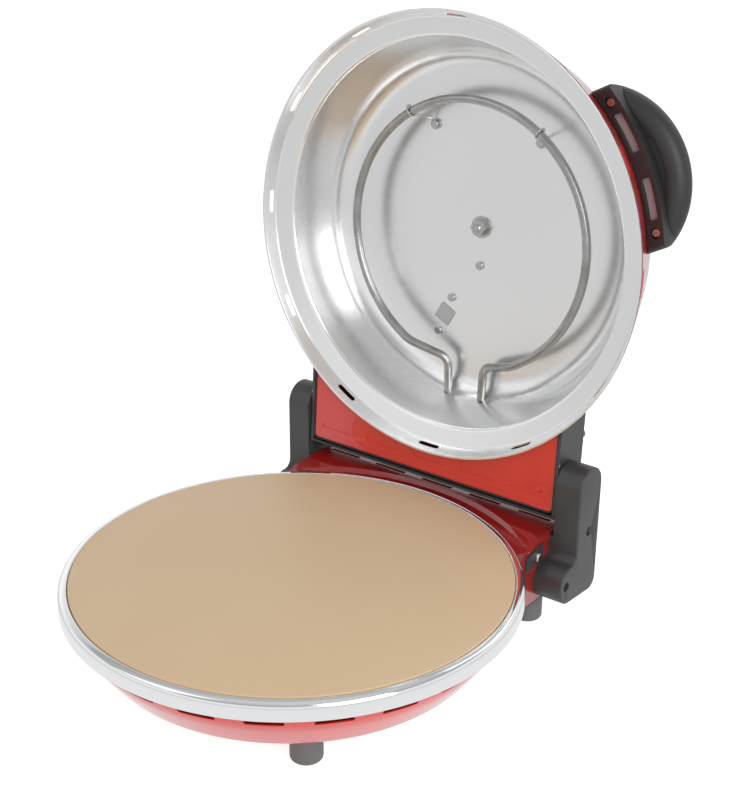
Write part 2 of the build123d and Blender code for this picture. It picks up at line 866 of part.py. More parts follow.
def centre_nut():
    """Nut with its washer under the reflector."""
    bore = stud_diameter / 2 + 0.1
    washer = extrude(Circle(washer_diameter / 2), -washer_sheet)
    nut = Pos(0, 0, -washer_sheet) * extrude(RegularPolygon(nut_width / 2, 6, False), -nut_height)
    body = washer + nut - extrude(Circle(bore), 40, both=True)
    return Pos(0, 0, reflector_z) * body


def thermostat_screw_places():
    """Centres of the thermostat's two screws."""
    places = []
    for side in (1, -1):
        x = thermostat_x - side * thermostat_spread / 2 * sin(radians(thermostat_turn))
        y = thermostat_y + side * thermostat_spread / 2 * cos(radians(thermostat_turn))
        places.append((x, y))
    return places


def thermostat():
    """Thermostat between reflector and dome, with two mounting ears."""
    low = reflector_z + reflector_sheet
    can = extrude(Circle(thermostat_radius), thermostat_height)
    ears = extrude(SlotOverall(2 * thermostat_ear, 10), 3.0)
    body = Rot(0, 0, 90 + thermostat_turn) * (can + ears)
    body = Pos(thermostat_x, thermostat_y, low) * body
    for x, y in thermostat_screw_places():
        body -= post(x, y, low - 1, low + 10, small_screw_shank / 2)
    return body - post(thermostat_x, thermostat_y, low + 4, low + 40, shaft_diameter / 2 + 0.1)


def thermostat_screws():
    """Screws that hold the thermostat."""
    screws = []
    for x, y in thermostat_screw_places():
        screws.append(flat_screw(x, y, reflector_z, small_screw_length - 2))
    return Compound(children=screws)


def earth_screw():
    """Lone screw on the reflector's flat top."""
    return flat_screw(earth_screw_x, earth_screw_y, reflector_z, small_screw_length)


def sensor_pad():
    """Square heat pad of the thermostat on the reflector."""
    pad = extrude(RectangleRounded(sensor_side, sensor_side, 1.0), -sensor_sheet)
    return Pos(thermostat_x, thermostat_y, reflector_z) * Rot(0, 0, sensor_turn) * pad


def box_block(inset, low, high):
    """Block of the lid's rear box, its walls moved in by the inset."""
    half = box_half_width - inset
    body = block(-half, half, 95, box_back - inset, rim_z + low, rim_z + high)
    back = body.edges().filter_by(Axis.X).group_by(Axis.Y)[-1]
    body = fillet(back.sort_by(Axis.Z)[-1], box_round - inset)
    return body


def lid_box():
    """Black box at the back of the lid that turns on the hinge pins."""
    body = box_block(0, box_bottom, box_height)
    sill = body.edges().filter_by(Axis.X).group_by(Axis.Z)[0].sort_by(Axis.Y)[-1]
    body = fillet(sill, box_sill_round)
    body -= box_block(box_wall, box_bottom - 20, box_height - box_wall)
    body -= dome_core(seat_gap)
    start = box_half_width - pin_reach - 1
    wall = box_half_width - box_wall / 2
    boss = along_x(start, wall, hinge_y, hinge_z, hinge_boss / 2)
    body += [boss, mirrored(boss)]
    bore = pin_diameter / 2 + pin_clearance
    hole = along_x(start - 1, box_half_width + 1, hinge_y, hinge_z, bore)
    hole += rivet_body(rivet_shank / 2 + 0.1)
    top = rim_z + box_height
    for x, y in stud_places():
        hole += post(x, y, top - stud_peg_length - 0.3, top + 1, stud_peg / 2 + 0.1)
    return body - [hole, mirrored(hole)]


def rivet_body(radius):
    """Shank of a rivet in the right side of the box."""
    z = rim_z + box_bottom + rivet_rise
    start = box_half_width - box_wall
    return along_x(start, box_half_width + 0.05, box_back - rivet_run, z, radius)


def box_rivet():
    """Rivet in the right side of the box."""
    z = rim_z + box_bottom + rivet_rise
    seat = box_half_width + 0.05
    head = along_x(seat, seat + rivet_height, box_back - rivet_run, z, rivet_head / 2)
    return head + rivet_body(rivet_shank / 2)


def stud_places():
    """Centres of the large and the small stud at the right of the box's top."""
    x = box_half_width - stud_inset
    y = box_back - stud_run
    return [(x, y), (x, y + stud_pitch)]


def box_studs():
    """Large and small round stud on the right of the box's top."""
    seat = rim_z + box_height + 0.05
    studs = []
    for (x, y), width in zip(stud_places(), (large_stud, small_stud)):
        head = post(x, y, seat, seat + stud_rise, width / 2)
        head = fillet(head.faces().sort_by(Axis.Z)[-1].edges(), width / 4)
        studs.append(head + post(x, y, seat - stud_peg_length, seat, stud_peg / 2))
    return studs


def panel_plan(grow, low, high):
    """Outline of the panel, grown by a clearance, as a slab."""
    half = panel_half_width + grow
    body = block(-half, half, 95, panel_back + grow, rim_z + low, rim_z + high)
    corners = body.edges().filter_by(Axis.Z).group_by(Axis.Y)[-1]
    return fillet(corners, panel_corner + grow)


def lid_panel():
    """Red panel that closes the box from below."""
    panel = panel_plan(0, panel_height, panel_height + panel_sheet)
    panel = fillet(panel.faces().sort_by(Axis.Z)[0].edges(), panel_edge)
    panel -= dome_core(seat_gap * 2)
    for i in range(deck_slot_count):
        x = (i - (deck_slot_count - 1) / 2) * deck_slot_pitch
        slot = extrude(SlotOverall(panel_slot_length, panel_slot_width), panel_slot_depth)
        panel -= Pos(x, panel_slot_y, rim_z + panel_height) * slot
    return panel


def panel_frame():
    """Black frame between the panel and the box's walls."""
    high = panel_height + panel_sheet + 0.1 + frame_ledge_sheet
    grow = box_half_width - box_wall - seat_gap - panel_half_width
    frame = panel_plan(grow, frame_lift, high)
    frame -= panel_plan(0.2, frame_lift - 1, high - frame_ledge_sheet)
    frame -= panel_plan(-frame_ledge, frame_lift, high + 1)
    return frame - dome_core(seat_gap * 2)


def on_flank(shape):
    """Turn a piece drawn along +X to the handle's place on the lid."""
    return shape.rotate(Axis.Z, handle_angle - 90)


def d_radius(height):
    """Radius of the handle's round outline at a height."""
    return handle_reach - handle_draft * (height - handle_foot)


def handle_form(low, inset):
    """Block that the handle is cut from: a drafted D with a rounded top."""
    base = (d_radius(low) - inset, rim_z + low)
    top_z = rim_z + handle_top - inset
    edge = (d_radius(handle_top) - inset, top_z)
    line = FilletPolyline(base, edge, (0, top_z), radius=grip_crown - inset)
    closing = Polyline((0, top_z), (0, rim_z + low), base)
    round_part = Pos(handle_centre, 0, 0) * spun(make_face(line.edges() + closing.edges()))
    return round_part & between_ends(inset)


def between_ends(inset):
    """Room between the handle's two flat ends, outwards from the D's centre."""
    half = handle_half - inset
    far = handle_centre + handle_reach + 1
    return block(handle_centre, far, -half, half, rim_z, rim_z + handle_top + 1)


def handle_bracket():
    """Black lower half of the handle: a hollow wall round the dome, with two windows."""
    low, seam = rim_z + handle_foot, rim_z + handle_seam
    body = handle_form(handle_foot, 0) & post(0, 0, low, seam, handle_radius)
    ends = body.edges().filter_by(Axis.X).group_by(Axis.Z)[0]
    body = fillet(ends, handle_foot_round)
    body -= dome_core(seat_gap)
    room = handle_form(handle_foot, handle_wall)
    room &= post(0, 0, low + handle_wall, seam + 1, handle_radius - handle_wall)
    room -= dome_core(seat_gap + handle_wall)
    for side in (1, -1):
        room -= along_handle(side, low, low + grip_screw_sink + handle_wall, grip_screw_cup / 2)
    body -= room
    band = post(0, 0, low - 1, low + handle_wall + 1, window_high)
    band -= post(0, 0, low - 2, low + handle_wall + 2, window_low)
    for side in (1, -1):
        ends = sorted((side * window_near, side * window_far))
        body -= band & block(handle_centre, handle_radius, ends[0], ends[1], low - 1, low + 9)
        body -= along_handle(side, low - 1, low + grip_screw_sink, screw_recess / 2)
        body -= along_handle(side, low, seam, screw_shank / 2)
    return body


def along_handle(side, z0, z1, radius):
    """Upright cylinder at one of the grip's screws."""
    v = side * grip_screw_v
    u = (((window_low + window_high) / 2) ** 2 - v ** 2) ** 0.5
    return post(u, v, z0, z1, radius)


def handle_strap():
    """Bright steel strap that lies in the bracket behind its windows."""
    low = rim_z + handle_foot + handle_wall + 0.1
    outer = handle_radius - handle_wall - 0.3
    strap = post(0, 0, low, low + strap_sheet, outer) - post(0, 0, low, low + strap_sheet, window_low)
    return strap & block(handle_centre, handle_radius, -strap_half, strap_half, low, low + strap_sheet)


def handle_grip():
    """Black upper half of the handle, reaching out over the fingers' room."""
    valley = handle_set_back + grip_valley_run
    top = rim_z + handle_top
    outline = FilletPolyline(
        (0, rim_z + grip_valley),
        (valley, rim_z + grip_valley),
        (d_radius(grip_lip), rim_z + grip_lip),
        (d_radius(handle_top), top),
        (0, top),
        radius=[grip_valley_bend, grip_lip_round, grip_crown],
    )
    closing = Polyline((0, top), (0, rim_z + grip_valley))
    body = Pos(handle_centre, 0, 0) * spun(make_face(outline.edges() + closing.edges()))
    body &= between_ends(0)
    seam = rim_z + handle_seam + seat_gap
    body -= [post(0, 0, 0, seam, handle_radius + seat_gap), dome_core(seat_gap)]
    room = handle_form(handle_seam, handle_wall) - dome_core(seat_gap + handle_wall)
    for side in (1, -1):
        room -= along_handle(side, seam, top, grip_boss / 2)
        body -= along_handle(side, seam, screw_tip() + 1, screw_shank / 2)
    return body - room


def screw_tip():
    """Height of the upper ends of the grip's screws."""
    return rim_z + handle_foot + grip_screw_sink + grip_screw_length


def handle_screws():
    """Two screws, sunk in the bracket's lower face, that hold the grip."""
    seat = rim_z + handle_foot + grip_screw_sink
    screws = []
    for side in (1, -1):
        head = along_handle(side, seat - screw_head_height, seat, screw_head / 2)
        head = fillet(head.faces().sort_by(Axis.Z)[0].edges(), screw_head / 8)
        screws.append(head + along_handle(side, seat, screw_tip(), screw_shank / 2 - 0.1))
    return screws


def dial_plate():
    """Disc on the dome round the knob, with a raised edge."""
    bore = shaft_diameter / 2 + running_gap
    disc = extrude(Circle(dial_radius), dial_sheet)
    disc = fillet(disc.faces().sort_by(Axis.Z)[-1].edges(), 0.8)
    disc -= extrude(Circle(bore), 10, both=True)
    return Pos(thermostat_x, thermostat_y, dome_top_z) * disc


def knob():
    """Round knob with a raised bar to turn it by."""
    skirt = extrude(Circle(knob_radius), knob_skirt)
    skirt = fillet(skirt.faces().sort_by(Axis.Z)[-1].edges(), 1.0)
    bar = extrude(RectangleRounded(2 * knob_radius - 4, knob_grip_width, 3.0), knob_height)
    bar = fillet(bar.faces().sort_by(Axis.Z)[-1].edges(), 2.0)
    body = skirt + bar
    body -= extrude(Circle(shaft_diameter / 2 + 0.02), shaft_grip)
    lift = dome_top_z + dial_sheet + seat_gap
    return Pos(thermostat_x, thermostat_y, lift) * Rot(0, 0, 90) * body


def knob_shaft():
    """Shaft from the thermostat up into the knob."""
    low = reflector_z + reflector_sheet + 4.1
    high = dome_top_z + dial_sheet + seat_gap + shaft_grip
    return post(thermostat_x, thermostat_y, low, high, shaft_diameter / 2)


def main():
    """Build every piece and write it."""
    write(pizza_stone(), "pizza_stone")
    write(trim_ring(), "trim_ring")
    write(base_shell(), "base_shell")
    write(lower_dish(), "lower_dish")
    write(lower_element(), "lower_element")
    write(loop_posts(), "loop_posts")
    write(rear_housing(), "rear_housing")
    write(rear_floor(), "rear_floor")
    corners = ("front_right", "front_left", "rear_right", "rear_left")
    for name, (x, y) in zip(corners, foot_places()):
        write(foot(x, y), f"foot_{name}")
    screws = [foot_screw(x, y) for x, y in foot_places()]
    write(Compound(children=screws), "foot_screws")
    pairs = {
        "hinge_cover": hinge_cover(),
        "hinge_pin": hinge_pin(),
        "cover_screws": cover_screws(),
        "side_plate": side_plate(),
        "side_screw": side_screw(),
    }
    for name, shape in pairs.items():
        write(shape, f"{name}_right")
        write(mirrored(shape), f"{name}_left")
    write(cord_inlet(), "cord_inlet")

    write(opened(lid_dome()), "lid_dome")
    write(opened(lid_reflector()), "lid_reflector")
    write(opened(rim_seal()), "rim_seal")
    write(opened(upper_element()), "upper_element")
    write(opened(element_clip(1)), "element_clip_right")
    write(opened(element_clip(-1)), "element_clip_left")
    write(opened(clip_screws()), "clip_screws")
    write(opened(centre_stud()), "centre_stud")
    write(opened(centre_nut()), "centre_nut")
    write(opened(thermostat()), "thermostat")
    write(opened(thermostat_screws()), "thermostat_screws")
    write(opened(earth_screw()), "earth_screw")
    write(opened(sensor_pad()), "sensor_pad")
    write(opened(lid_box()), "lid_box")
    write(opened(lid_panel()), "lid_panel")
    write(opened(panel_frame()), "panel_frame")
    rivets = [opened(box_rivet()), opened(mirrored(box_rivet()))]
    write(Compound(children=rivets), "box_rivets")
    studs = box_studs() + [mirrored(stud) for stud in box_studs()]
    write(Compound(children=[opened(stud) for stud in studs]), "box_studs")
    write(opened(on_flank(handle_bracket())), "handle_bracket")
    write(opened(on_flank(handle_grip())), "handle_grip")
    write(opened(on_flank(handle_strap())), "handle_strap")
    screws = [opened(on_flank(screw)) for screw in handle_screws()]
    write(Compound(children=screws), "handle_screws")
    write(opened(dial_plate()), "dial_plate")
    write(opened(knob()), "knob")
    write(opened(knob_shaft()), "knob_shaft")


main()
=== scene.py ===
import json
import math

import bmesh
import bpy
import numpy as np
from mathutils import Matrix, Vector

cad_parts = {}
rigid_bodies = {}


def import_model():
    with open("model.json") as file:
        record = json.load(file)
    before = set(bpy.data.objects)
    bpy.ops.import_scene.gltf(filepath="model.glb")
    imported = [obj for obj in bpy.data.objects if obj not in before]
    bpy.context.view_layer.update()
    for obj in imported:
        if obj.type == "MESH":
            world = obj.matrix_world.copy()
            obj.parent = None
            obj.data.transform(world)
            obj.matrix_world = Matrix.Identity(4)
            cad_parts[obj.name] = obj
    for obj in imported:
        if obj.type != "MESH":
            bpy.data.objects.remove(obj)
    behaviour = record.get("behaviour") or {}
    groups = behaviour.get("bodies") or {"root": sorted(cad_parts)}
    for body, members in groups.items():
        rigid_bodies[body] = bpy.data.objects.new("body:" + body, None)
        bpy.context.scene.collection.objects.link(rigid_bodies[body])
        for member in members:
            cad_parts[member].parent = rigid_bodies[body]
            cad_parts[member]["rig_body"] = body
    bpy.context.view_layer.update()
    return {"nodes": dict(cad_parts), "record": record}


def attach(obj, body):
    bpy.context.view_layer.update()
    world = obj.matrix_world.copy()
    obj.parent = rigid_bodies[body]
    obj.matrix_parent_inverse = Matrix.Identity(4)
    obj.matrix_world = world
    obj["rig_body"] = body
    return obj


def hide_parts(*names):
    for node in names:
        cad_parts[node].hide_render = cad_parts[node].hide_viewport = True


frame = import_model()
print("frame loaded:", len(frame["nodes"]), "CAD nodes")

# fitted to the ellipses of the trim ring and of the lid's rim
cameraSetup = {
    "place": (0.6360, -0.7616, 0.5625),
    "azimuth": 36.907,  # degrees round from the front towards +X
    "pitch": 23.279,  # degrees that it looks down
    "roll": 0.28,
    "lens": 74.2,
    "sensor": 36,
    "nearest": 0.05,
}


def addCamera(setup):
    # backward axis from azimuth and pitch, a level axis square to it, and the other two axes
    # rolled about the first
    azimuth, pitch, roll = (math.radians(setup[k]) for k in ("azimuth", "pitch", "roll"))
    flat = math.cos(pitch)
    back = Vector((math.sin(azimuth) * flat, -math.cos(azimuth) * flat, math.sin(pitch)))
    level = Vector((math.cos(azimuth), math.sin(azimuth), 0))
    upright = back.cross(level)
    right = level * math.cos(roll) + upright * math.sin(roll)
    up = upright * math.cos(roll) - level * math.sin(roll)
    data = bpy.data.cameras.new("photoCamera")
    data.lens = setup["lens"]
    data.sensor_width = setup["sensor"]
    data.clip_start = setup["nearest"]
    camera = bpy.data.objects.new("photoCamera", data)
    axes = Matrix((right, up, back)).transposed()
    camera.matrix_world = Matrix.Translation(setup["place"]) @ axes.to_4x4()
    bpy.context.scene.collection.objects.link(camera)
    bpy.context.scene.camera = camera


addCamera(cameraSetup)
print("camera placed")

# lengths are in millimetres, and the lid is drawn shut, until newPiece and openLid
hinge = {"y": 178.1, "z": 18.9, "open": 93.66, "rim": -1.0}


def openLid(points, way=1):
    # turned about the hinge line by the opening angle, or back again with way -1
    angle = math.radians(-hinge["open"] * way)
    y, z = points[..., 1] - hinge["y"], points[..., 2] - hinge["z"]
    turned = points.copy()
    turned[..., 1] = hinge["y"] + y * math.cos(angle) - z * math.sin(angle)
    turned[..., 2] = hinge["z"] + y * math.sin(angle) + z * math.cos(angle)
    return turned


def roundedLine(corners, radii, steps=8):
    # each corner gives way to an arc that touches both of its runs
    points = np.array(corners, float)
    line = [points[:1]]
    for before, corner, after, radius in zip(points, points[1:], points[2:], radii):
        u = (before - corner) / np.linalg.norm(before - corner)
        v = (after - corner) / np.linalg.norm(after - corner)
        half = np.arccos(np.clip(u @ v, -1, 1)) / 2
        start = corner + u * radius / np.tan(half)
        end = corner + v * radius / np.tan(half)
        middle = corner + (u + v) / np.linalg.norm(u + v) * radius / np.sin(half)
        a, b = (start - middle) / radius, (end - middle) / radius
        turn = np.arccos(np.clip(a @ b, -1, 1))
        t = np.linspace(0, 1, steps + 1)[:, None]
        arc = (np.sin((1 - t) * turn) * a + np.sin(t * turn) * b) / np.sin(turn)
        line.append(middle + arc * radius)
    line.append(points[-1:])
    return np.concatenate(line)


def withHeights(line, heights):
    # an extra point, in proportion between its neighbours, where the line first crosses each height
    for height in heights:
        above = line[:, 1] - height
        crossings = np.flatnonzero(above[:-1] * above[1:] < -1e-9)
        if len(crossings):
            i = crossings[0]
            share = above[i] / (above[i] - above[i + 1])
            point = line[i] + (line[i + 1] - line[i]) * share
            line = np.insert(line, i + 1, (point[0], height), axis=0)
    return line


def newPiece(name, points, faces, body, slot, replaced=(), smooth=40, flip=False):
    # points in millimetres; doubled points at seams and poles are merged before the shading is set
    mesh = bpy.data.meshes.new(name)
    mesh.from_pydata((points * 0.001).tolist(), [], faces)
    bm = bmesh.new()
    bm.from_mesh(mesh)
    bmesh.ops.remove_doubles(bm, verts=bm.verts, dist=2e-6)
    bmesh.ops.dissolve_degenerate(bm, edges=bm.edges, dist=1e-7)
    if flip:
        bmesh.ops.reverse_faces(bm, faces=bm.faces)
    bm.to_mesh(mesh)
    bm.free()
    mesh.shade_smooth()
    mesh.set_sharp_from_angle(angle=math.radians(smooth))
    mesh.materials.append(finish[slot])
    return joinScene(name, mesh, body, replaced)


def joinScene(name, mesh, body, replaced):
    piece = bpy.data.objects.new(name, mesh)
    bpy.context.scene.collection.objects.link(piece)
    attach(piece, body)
    if replaced:
        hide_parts(*replaced)
    return piece


def gridFaces(rows, cols):
    # quads between neighbouring rows and columns; the last column joins the first
    i, j = np.meshgrid(np.arange(rows - 1), np.arange(cols), indexing="ij")
    right = (j + 1) % cols
    corners = [i * cols + j, i * cols + right, (i + 1) * cols + right, (i + 1) * cols + j]
    return np.stack(corners, -1).reshape(-1, 4)


def slotSteps(slots):
    # heights and reaches, from a slot's middle, at which its round ends are stepped
    turn = np.radians([0, 22.5, 45, 67.5, 90])
    radius = slots["height"] / 2
    heights = np.concatenate([radius * np.sin(turn), -radius * np.sin(turn)])
    reach = slots["length"] / 2 - radius + radius * np.cos(turn)
    return np.unique(np.round(heights, 6)), np.sort(reach)


def slotAngles(slots):
    # fine steps over each slot's ends, even ones over its middle and on to the next slot
    reach = slotSteps(slots)[1]
    middle = np.linspace(-reach[0], reach[0], 7)[1:-1]
    across = np.concatenate([-reach[::-1], middle, reach]) / slots["radius"]
    pitch, centres = np.radians(slots["pitch"]), np.radians(slots["angles"])
    onward = np.linspace(across[-1], pitch - across[-1], 6)[1:-1]
    angles = (centres[:, None] + np.concatenate([across, onward])).ravel()
    if slots["angles"][-1] - slots["angles"][0] + slots["pitch"] < 359:
        # a row of slots that doesn't go all round: plain steps over the rest
        start, end = centres[-1] + pitch - across[-1], centres[0] + 2 * np.pi + across[0]
        angles = np.concatenate([angles, np.arange(start, end, np.radians(1.7))])
    return np.sort(angles % (2 * np.pi))


def cutSlots(faces, line, angles, slots, margin=1e-3, wallReach=12):
    # distance of each point from the slots' round-ended outlines, negative inside: a quad with
    # points inside goes, but one with a single such point keeps its other three as a triangle
    centres = np.radians(slots["angles"])
    offset = (angles[:, None] - centres + np.pi) % (2 * np.pi) - np.pi
    along = np.abs(offset).min(1) * slots["radius"]
    half = slots["height"] / 2
    straight = slots["length"] / 2 - half
    rise = line[:, 1][:, None] - slots["z"] + 0 * along
    distance = np.hypot(np.maximum(along - straight, 0), rise) - half
    distance[np.abs(line[:, 0] - slots["radius"]) > wallReach] = wallReach
    distance = distance.ravel()[faces]
    inside, outside = distance < -margin, distance > margin
    whole = ~inside.any(1) & outside.any(1)
    single = outside.any(1) & (inside.sum(1) == 1)
    order = (np.argmax(inside[single], 1)[:, None] + np.array([1, 2, 3])) % 4
    triangles = np.take_along_axis(faces[single], order, 1)
    return faces[whole].tolist() + triangles.tolist()


def thicken(piece, thickness):
    # applied at once, so that the cut edges of the sheet can be marked sharp
    wall = piece.modifiers.new("sheet", "SOLIDIFY")
    wall.thickness = thickness * 0.001
    wall.offset = -1
    wall.use_even_offset = True
    evaluated = piece.evaluated_get(bpy.context.evaluated_depsgraph_get())
    shell = bpy.data.meshes.new_from_object(evaluated)
    piece.modifiers.clear()
    piece.data = shell
    shell.set_sharp_from_angle(angle=math.radians(40))


def spinSheet(name, line, body, slot, replaced, thickness=0, slots=None, onLid=False,
              flip=False, columns=240):
    # radius and height of the line, carried round the upright axis, less the slots
    if slots:
        line = withHeights(line, slots["z"] + slotSteps(slots)[0])
        angles = slotAngles(slots)
    else:
        angles = np.linspace(0, 2 * np.pi, columns, endpoint=False)
    radius, height = line[:, 0][:, None], line[:, 1][:, None]
    around = [radius * np.sin(angles), -radius * np.cos(angles), height + 0 * angles]
    points = np.stack(around, -1).reshape(-1, 3)
    faces = gridFaces(len(line), len(angles))
    faces = cutSlots(faces, line, angles, slots) if slots else faces.tolist()
    if onLid:
        points = openLid(points)
    piece = newPiece(name, points, faces, body, slot, replaced, flip=flip)
    if thickness:
        thicken(piece, thickness)


def tubeMesh(path, radius, around=20):
    # a circle carried along the path, one of its two axes kept level, with a flat cap at each end
    run = np.gradient(path, axis=0)
    run /= np.linalg.norm(run, axis=1)[:, None]
    side = np.cross(run, [0, 0, 1.0])
    side /= np.linalg.norm(side, axis=1)[:, None]
    other = np.cross(run, side)
    turn = np.linspace(0, 2 * np.pi, around, endpoint=False)[None, :, None]
    ring = side[:, None] * np.cos(turn) + other[:, None] * np.sin(turn)
    points = (path[:, None] + ring * radius).reshape(-1, 3)
    firstCap, lastCap = np.arange(around)[::-1], len(points) - around + np.arange(around)
    faces = gridFaces(len(path), around).tolist() + [firstCap.tolist(), lastCap.tolist()]
    return points, faces


def dressedCopy(node, name, slot, smooth=32, bevel=0.0, join=True):
    # the CAD node's own mesh, merged, its flat facets joined, and its edges softened
    source = frame["nodes"][node]
    bm = bmesh.new()
    bm.from_mesh(source.data)
    bmesh.ops.remove_doubles(bm, verts=bm.verts, dist=2e-6)
    if join:
        flatness = math.radians(0.3)
        bmesh.ops.dissolve_limit(bm, angle_limit=flatness, verts=bm.verts, edges=bm.edges)
    mesh = bpy.data.meshes.new(name)
    bm.to_mesh(mesh)
    bm.free()
    mesh.materials.clear()
    mesh.materials.append(finish[slot])
    mesh.polygons.foreach_set("material_index", np.zeros(len(mesh.polygons), np.int32))
    mesh.shade_smooth()
    mesh.set_sharp_from_angle(angle=math.radians(smooth))
    copy = joinScene(name, mesh, source["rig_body"], [node])
    if bevel:
        soft = copy.modifiers.new("edges", "BEVEL")
        soft.width = bevel * 0.001
        soft.segments = 2
        soft.limit_method = "ANGLE"
        soft.angle_limit = math.radians(smooth)
        soft.harden_normals = True
    return copy


def newMaterial(name, colour, roughness, metal=0.0):
    mat = bpy.data.materials.new(name)
    mat.use_nodes = True
    shader = mat.node_tree.nodes["Principled BSDF"]
    shader.inputs["Base Color"].default_value = (*colour, 1)
    shader.inputs["Roughness"].default_value = roughness
    shader.inputs["Metallic"].default_value = metal
    return mat, mat.node_tree.nodes, mat.node_tree.links, shader


def objectNoise(nodes, links, scale, detail):
    # cloudy pattern fixed to the object, scale in cells a metre
    place = nodes.new("ShaderNodeTexCoord")
    noise = nodes.new("ShaderNodeTexNoise")
    noise.inputs["Scale"].default_value = scale
    noise.inputs["Detail"].default_value = detail
    links.new(place.outputs["Object"], noise.inputs["Vector"])
    return noise.outputs["Fac"]


def remap(nodes, links, value, low, high, fromLow=0.3, fromHigh=0.7):
    span = nodes.new("ShaderNodeMapRange")
    span.inputs["From Min"].default_value = fromLow
    span.inputs["From Max"].default_value = fromHigh
    span.inputs["To Min"].default_value = low
    span.inputs["To Max"].default_value = high
    links.new(value, span.inputs["Value"])
    return span.outputs["Result"]


def cloudyColour(nodes, links, shader, pattern, dark, light):
    # two close tones of the base colour, mixed by the pattern
    mix = nodes.new("ShaderNodeMix")
    mix.data_type = "RGBA"
    mix.inputs[6].default_value = (*dark, 1)
    mix.inputs[7].default_value = (*light, 1)
    links.new(remap(nodes, links, pattern, 0, 1), mix.inputs[0])
    links.new(mix.outputs[2], shader.inputs["Base Color"])


def cloudyGloss(nodes, links, shader, pattern, low, high):
    links.new(remap(nodes, links, pattern, low, high), shader.inputs["Roughness"])


def bumpFrom(nodes, links, shader, height, strength, distance=0.0002):
    bump = nodes.new("ShaderNodeBump")
    bump.inputs["Strength"].default_value = strength
    bump.inputs["Distance"].default_value = distance
    links.new(height, bump.inputs["Height"])
    links.new(bump.outputs["Normal"], shader.inputs["Normal"])


def firedStone():
    mat, nodes, links, shader = newMaterial("firedStone", (0.681, 0.498, 0.310), 0.5)
    cloud = objectNoise(nodes, links, 9, 4)
    grit = objectNoise(nodes, links, 900, 2)
    cloudyColour(nodes, links, shader, cloud, (0.670, 0.487, 0.300), (0.692, 0.510, 0.320))
    cloudyGloss(nodes, links, shader, grit, 0.42, 0.54)
    bumpFrom(nodes, links, shader, grit, 0.25)
    return mat


def enamelRed(name, dark, light, roughness):
    # a clear coat over the colour, with a trace of orange peel
    mat, nodes, links, shader = newMaterial(name, light, roughness)
    cloudyColour(nodes, links, shader, objectNoise(nodes, links, 14, 3), dark, light)
    bumpFrom(nodes, links, shader, objectNoise(nodes, links, 260, 2), 0.06)
    shader.inputs["Coat Weight"].default_value = 1.0
    shader.inputs["Coat Roughness"].default_value = 0.04
    return mat


def polishedChrome():
    mat, nodes, links, shader = newMaterial("polishedChrome", (0.86, 0.87, 0.88), 0.1, 1.0)
    cloudyGloss(nodes, links, shader, objectNoise(nodes, links, 30, 4), 0.06, 0.14)
    return mat


def satinAluminium():
    mat, nodes, links, shader = newMaterial("satinAluminium", (0.87, 0.873, 0.876), 0.26, 1.0)
    cloudyGloss(nodes, links, shader, objectNoise(nodes, links, 12, 4), 0.23, 0.29)
    bumpFrom(nodes, links, shader, objectNoise(nodes, links, 1500, 2), 0.12, 0.00005)
    return mat


def heaterSteel():
    # blotches of heat tint
    mat, nodes, links, shader = newMaterial("heaterSteel", (0.38, 0.38, 0.37), 0.26, 1.0)
    tint = objectNoise(nodes, links, 60, 4)
    cloudyColour(nodes, links, shader, tint, (0.30, 0.30, 0.295), (0.44, 0.44, 0.435))
    cloudyGloss(nodes, links, shader, tint, 0.22, 0.32)
    return mat


def mouldedBlack(name, dark, light, low, high, grainScale, strength):
    # moulded plastic or rubber: low and high are the ends of its roughness
    mat, nodes, links, shader = newMaterial(name, (light,) * 3, high)
    cloudyColour(nodes, links, shader, objectNoise(nodes, links, 25, 3), (dark,) * 3, (light,) * 3)
    grain = objectNoise(nodes, links, grainScale, 2)
    cloudyGloss(nodes, links, shader, grain, low, high)
    bumpFrom(nodes, links, shader, grain, strength)
    return mat


def zincSteel(name, tone, metal, low, high):
    mat, nodes, links, shader = newMaterial(name, (tone,) * 3, low, metal)
    cloudyGloss(nodes, links, shader, objectNoise(nodes, links, 400, 3), low, high)
    return mat


def paleCeramic():
    mat, nodes, links, shader = newMaterial("paleCeramic", (0.8, 0.77, 0.7), 0.6)
    bumpFrom(nodes, links, shader, objectNoise(nodes, links, 500, 3), 0.2)
    return mat


# one finish for each material slot
finish = {
    "stone": firedStone(),
    "red_gloss": enamelRed("enamelRed", (0.60, 0.019, 0.012), (0.64, 0.024, 0.015), 0.3),
    "red_moulding": enamelRed("mouldedRed", (0.27, 0.009, 0.007), (0.31, 0.012, 0.009), 0.25),
    "chrome": polishedChrome(),
    "aluminium": satinAluminium(),
    "tube_steel": heaterSteel(),
    "black_moulding": mouldedBlack("satinBlack", 0.038, 0.052, 0.34, 0.46, 1400, 0.15),
    "black_grip": mouldedBlack("gripBlack", 0.020, 0.028, 0.40, 0.52, 1100, 0.25),
    "rubber": mouldedBlack("footRubber", 0.130, 0.155, 0.5, 0.65, 900, 0.2),
    "screw_steel": zincSteel("zincSteel", 0.5, 1.0, 0.18, 0.3),
    "ceramic": paleCeramic(),
}
print("materials:", len(finish))

stoneShape = {"radius": 155.6, "thickness": 12.0, "edge": 0.9}


def makeStone(shape):
    # side line of the disc, spun; its rounded edges are quarter arcs
    r, t, e = shape["radius"], shape["thickness"], shape["edge"]
    line = roundedLine([(0, 0), (r, 0), (r, -t), (0, -t)], [e, e], 5)
    spinSheet("bakingStone", line, "stone", "stone", ["pizza_stone"], flip=True, columns=180)


makeStone(stoneShape)

# radius and height of each corner of the side line, and the bends between its runs
ringShape = {
    "corners": [(156.0, -12.0), (156.0, -0.4), (162.8, -1.6), (162.8, -13.5)],
    "bends": [1.2, 4.4],
    "thickness": 0.9,
}


